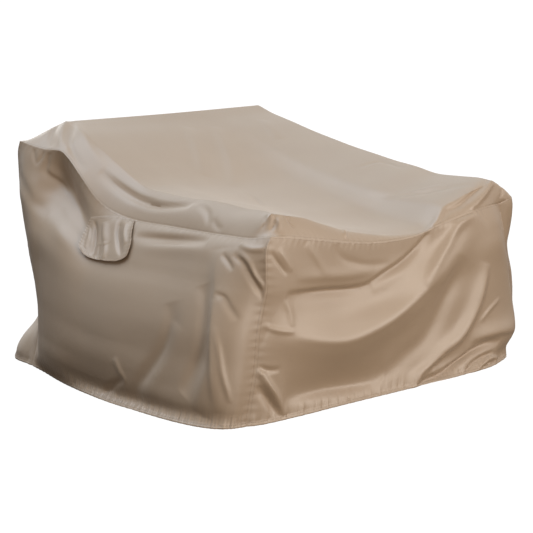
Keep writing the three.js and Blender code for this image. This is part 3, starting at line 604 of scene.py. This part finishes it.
def skirt_grid(side, first, last, alongs):
    """A skirt's base sheet, with rows close together at the seam and at the hem, its flat cloth, the
    share of the drop at each point, and the whole drop of each column."""
    lengths = np.linalg.norm(seams[side](alongs) - hems[side](alongs), axis=1)
    shares = np.linspace(0, 1, MIDDLE_ROWS[side] + 2)[1:-1, None]
    upper = np.repeat(np.array(SEAM_ROWS, float)[:, None], len(alongs), axis=1)
    lower = lengths[None] - np.array(HEM_ROWS, float)[:, None]
    between = SEAM_ROWS[-1] + shares * (lengths[None] - HEM_ROWS[0] - SEAM_ROWS[-1])
    drops = np.concatenate([upper, between, lower])
    t = drops / lengths
    s = np.broadcast_to(alongs, t.shape)
    points = coons(seams[side], hems[side], posts[first], posts[last], s, t)
    return points, np.stack([s * SKIRT_WIDTH[side], drops], -1), t, lengths


def swelling(side, alongs, t):
    """How far a skirt stands out from a straight fall, at each point of its grid."""
    rows = np.array(swells[side], float)
    by_column = hermite(rows[:, 0], rows[:, 1:], alongs)
    return np.stack([hermite(SWELL_DROPS, by_column[i], t[:, i]) for i in range(len(alongs))], 1)


def hem_band(above):
    """Doubled cloth of the hem, by the height above its lower edge: a low step up to the band, a
    groove where the stitches pull it in, and a rolled lip near the edge."""
    band = 0.7 * (1 - np.tanh((above - HEM + 1) / 1.5))
    stitched = -0.9 * np.exp(-((above - HEM_STITCHES) / 1.4) ** 2)
    lip = 1.6 * np.exp(-((above - HEM_LIP) / 2.4) ** 2)
    return band + stitched + lip


def skirt(side, first, last, alongs, turned, seed):
    """A skirt with its folds, hem and stitches, built as a sheet. Returns its grid and flat cloth."""
    points, flat, t, lengths = skirt_grid(side, first, last, alongs)
    normals = grid_normals(points, turned)
    x, drop = flat[..., 0], flat[..., 1]
    above = lengths[None] - drop
    side_gap = np.minimum(x, SKIRT_WIDTH[side] - x)
    height = fold_heights(skirt_folds[side], flat) * clear_of_seams(np.minimum(side_gap, drop))
    height += swelling(side, alongs, t)
    upper = sewn_edge(drop, x, seed, depth=1.0, length=26, reach=18, roll=0.9)
    upright = sewn_edge(side_gap, drop, seed + 1, depth=1.4, length=28, reach=14)
    height += np.where(drop <= side_gap, upper, upright)
    # Short and longer tucks where the hem's stitches draw the cloth in
    tucks = 2.0 * ripples(x, 13, seed + 2) + 1.6 * ripples(x, 33, seed + 3)
    tucks *= np.exp(-(np.abs(above - HEM) / 20) ** 1.2)
    height += (tucks + hem_band(above)) * np.clip(side_gap / 12, 0, 1)
    # The lower edge moves only sideways, and stays on the floor
    normals[-1, :, 2] = 0
    points = points + normals * height[..., None]
    points[-1, :, 2] = 0
    piece = sheet_mesh(f"{side}_panel_cloth", points, flat, turned, f"{side}_panel")
    piece.data.materials.append(cloth)
    rows = [("near", 5, 20), ("far", HEM_STITCHES, 6), ("first", 6, 12), ("last", 6, 12)]
    sewing = stitching(f"{side}_panel_stitching", points, turned, rows)
    sewing.data.materials.append(thread)
    return points, flat


# The columns match the top's at the seam. The left skirt has twice as many, for its fine creases,
# and the two that face away from the camera have half
across = seam_shares(TOP_CELLS["across"], TOP_CELLS["fall"])[2]
along = seam_shares(TOP_CELLS["along"], TOP_CELLS["fall"])[2]
finer = np.sort(np.concatenate([along, (along[1:] + along[:-1]) / 2]))
skirt("front", "FL", "FR", across, True, 21)
left_points, left_flat = skirt("left", "FL", "BL", finer, False, 31)
skirt("right", "FR", "BR", along[::2], True, 41)
skirt("back", "BL", "BR", across[::2], False, 51)

# Vent flap
# A small hood of the same cloth that keeps rain out of the vent: sewn along its top edge only,
# with a folded and stitched edge on its other sides, it hangs a finger off the skirt.
FLAP_CELLS = (120, 84)
FLAP = {"wide": 215, "lower_edge": 200, "high": 150}
# How far it stands off the skirt at its seam, and how much more at its lower edge
FLAP_STANDS = {"at_seam": 2.3, "more_below": 9}
# Its seam bows up by so much in its middle. Its rim is folded so wide and stitched so far in
SEAM_BOW = 20
FLAP_RIM = {"fold": 8, "stitches": 7}
# Its two sides on the left skirt's flat cloth: share of its height, then across and down for each
flap_edges = [
    (0, 618, 5, 816, 68),
    (0.35, 586, 48, 828, 115),
    (0.7, 563, 102, 832, 160),
    (0.9, 574, 134, 828, 186),
    (1, 610, 151, 796, 194)]
# Its folds, on the same flat cloth
flap_folds = [
    ([(790, 62), (768, 100), (752, 150), (758, 178)], 14, 10, -9),
    ([(735, 45), (715, 85), (690, 115)], 20, 12, 8),
    ([(676, 12), (655, 60), (618, 105), (588, 128)], 14, 9, -9),
    ([(700, 105), (682, 138), (694, 172)], 13, 10, 6),
    ([(722, 120), (716, 150), (726, 176)], 9, 8, -4),
    ([(642, 18), (620, 55), (590, 90)], 10, 9, 5),
    ([(805, 100), (798, 140), (802, 172)], 9, 9, 3)]


def on_skirt(points, flat, places):
    """Points of a draped skirt at places on its flat cloth."""
    across, drop = places[..., 0], places[..., 1]
    columns = np.interp(across, flat[0, :, 0], np.arange(flat.shape[1]))
    i = np.clip(columns.astype(int), 0, flat.shape[1] - 2)
    u = (columns - i)[..., None]
    rows = np.stack([np.interp(down, flat[:, column, 1], np.arange(flat.shape[0]))
                     for column, down in zip(i.ravel(), drop.ravel())]).reshape(drop.shape)
    j = np.clip(rows.astype(int), 0, flat.shape[0] - 2)
    v = (rows - j)[..., None]
    upper = points[j, i] * (1 - u) + points[j, i + 1] * u
    lower = points[j + 1, i] * (1 - u) + points[j + 1, i + 1] * u
    return upper * (1 - v) + lower * v


def flap_grid(u, v):
    """The flap's flat cloth on the left skirt, at shares u across and v down: its sides follow their
    table, and its sewn edge bows up to the skirt's seam."""
    rows = np.array(flap_edges, float)
    sides = hermite(rows[:, 0], rows[:, 1:], v[:, 0])
    places = sides[:, None, :2] * (1 - u[..., None]) + sides[:, None, 2:] * u[..., None]
    places[..., 1] -= 4 * SEAM_BOW * u * (1 - u) * (1 - v) ** 2
    return places


def folded_rim(gap):
    """The flap's doubled rim, by the distance from its edge: a band with a groove at its stitches."""
    band = 0.5 * (1 - np.tanh((gap - FLAP_RIM["fold"]) / 1.5))
    return band - 0.8 * np.exp(-((gap - FLAP_RIM["stitches"]) / 1.2) ** 2)


u, v = np.meshgrid(np.linspace(0, 1, FLAP_CELLS[0] + 1), np.linspace(0, 1, FLAP_CELLS[1] + 1))
flap_flat = flap_grid(u, v)
under = on_skirt(left_points, left_flat, flap_flat)
rim_gap = np.minimum(np.minimum(u, 1 - u) * FLAP["wide"], (1 - v) * FLAP["high"])
lower_puckers = ripples(u[0] * FLAP["lower_edge"], 11, 61)[None]
side_puckers = ripples(v[:, 0] * FLAP["high"], 13, 62)[:, None]
stand = FLAP_STANDS["at_seam"] + FLAP_STANDS["more_below"] * np.sqrt(v)
stand += fold_heights(flap_folds, flap_flat) * np.clip(v * 5, 0.25, 1)
puckers = 0.9 * np.where(v > 0.9, lower_puckers, side_puckers) * (v > 0.05)
stand += puckers * np.exp(-rim_gap / FLAP_RIM["fold"])
stand += folded_rim(rim_gap)
flap_points = under + grid_normals(under, False) * stand[..., None]
flap = sheet_mesh("vent_flap_cloth", flap_points, flap_flat, False, "vent_flap")
flap.data.materials.append(cloth)
flap_rows = [("near", 4, 4), ("near", 10, 4), ("first", 7, 12), ("last", 7, 12), ("far", 7, 9)]
flap_thread = stitching("vent_flap_stitching", flap_points, False, flap_rows)
flap_thread.data.materials.append(thread)

# Floor, lights and camera
# A wide floor, plain white to the camera, under a broad cool light from almost straight above. Two
# soft boxes stand before the cover, a low warm one at its left and a weak one behind. The camera
# stands where the photographer's did.
FLOOR_SIZE = 400
COVER_MIDDLE = (0, 0, 0.35)
bpy.ops.mesh.primitive_plane_add(size=FLOOR_SIZE, location=(0, 0, 0))
floor = bpy.context.object
floor.name = "floor"
floor_material = bpy.data.materials.new("matt_pale_floor")
floor_material.use_nodes = True
floor_tree = floor_material.node_tree
floor_shader = floor_tree.nodes["Principled BSDF"]
# Its own colour is dark, so that little light comes back up to the cloth
floor_shader.inputs["Base Color"].default_value = linear("#3B3733")
floor_shader.inputs["Roughness"].default_value = 0.95
floor_shader.inputs["Specular IOR Level"].default_value = 0.1
floor_shader.inputs["Emission Color"].default_value = linear("#FFFFFF")
floor_rays = add_node(floor_tree, "ShaderNodeLightPath")
floor_tree.links.new(floor_rays.outputs["Is Camera Ray"], floor_shader.inputs["Emission Strength"])
floor.data.materials.append(floor_material)


def soft_box(name, place, size, power, colour):
    """A square soft box, turned to the middle of the cover."""
    data = bpy.data.lights.new(name, "AREA")
    data.size = size
    data.energy = power
    data.color = linear(colour)[:3]
    light = bpy.data.objects.new(name, data)
    light.location = place
    aim = Vector(COVER_MIDDLE) - Vector(place)
    light.rotation_euler = aim.to_track_quat("-Z", "Y").to_euler()
    bpy.context.collection.objects.link(light)


# Places and sizes in metres, power in watts
soft_box("key", (2.7, -4.7, 1.2), 1.5, 106, "#FFF6EC")
soft_box("front", (-1.3, -5.0, 1.2), 1.2, 92, "#FFF6EC")
soft_box("left", (-5.0, -1.0, 1.1), 1.8, 20, "#FFE9D2")
soft_box("rear", (1.5, 6.5, 3.4), 2.5, 45, "#FFFFFF")

canopy = bpy.data.lights.new("overhead", "SUN")
canopy.energy = 2.85
canopy.color = linear("#DAECFF")[:3]
canopy.angle = np.radians(60)
overhead = bpy.data.objects.new("overhead", canopy)
overhead.rotation_euler = Vector((-0.16, 0.16, 1)).to_track_quat("Z", "Y").to_euler()
bpy.context.collection.objects.link(overhead)

# The world is nearly white where it is seen or mirrored, and lights the cloth only a little
WORLD_SEEN, WORLD_LIGHT = 0.98, 0.12
world = bpy.data.worlds.new("studio")
world.use_nodes = True
world_tree = world.node_tree
world_rays = add_node(world_tree, "ShaderNodeLightPath")
glow = add_node(world_tree, "ShaderNodeMapRange", {"To Min": WORLD_SEEN, "To Max": WORLD_LIGHT},
                {"Value": world_rays.outputs["Is Diffuse Ray"]})
background = world_tree.nodes["Background"]
background.inputs["Color"].default_value = linear("#FFFFFF")
world_tree.links.new(glow.outputs["Result"], background.inputs["Strength"])
bpy.context.scene.world = world
bpy.context.scene.view_settings.view_transform = "Standard"

# The photo is 533 pixels wide. Its focal length in pixels, the camera's place in metres on the same
# axes as the tables, and its turns in degrees are worked out from the cover's corners in it
PHOTO_WIDTH = 533
FOCAL_LENGTH = 1750
CAMERA_PLACE = (-4.325, -3.849, 1.473)
LOOKS_DOWN, LOOKS_RIGHT = 10.34, 44.35
camera_data = bpy.data.cameras.new("camera")
camera_data.sensor_width = 36
camera_data.lens = FOCAL_LENGTH / PHOTO_WIDTH * camera_data.sensor_width
camera = bpy.data.objects.new("camera", camera_data)
camera.location = (np.array(CAMERA_PLACE) - np.array((*PLAN_CENTRE, 0)) * MM).tolist()
camera.rotation_euler = np.radians((90 - LOOKS_DOWN, 0, -LOOKS_RIGHT)).tolist()
bpy.context.collection.objects.link(camera)
bpy.context.scene.camera = camera
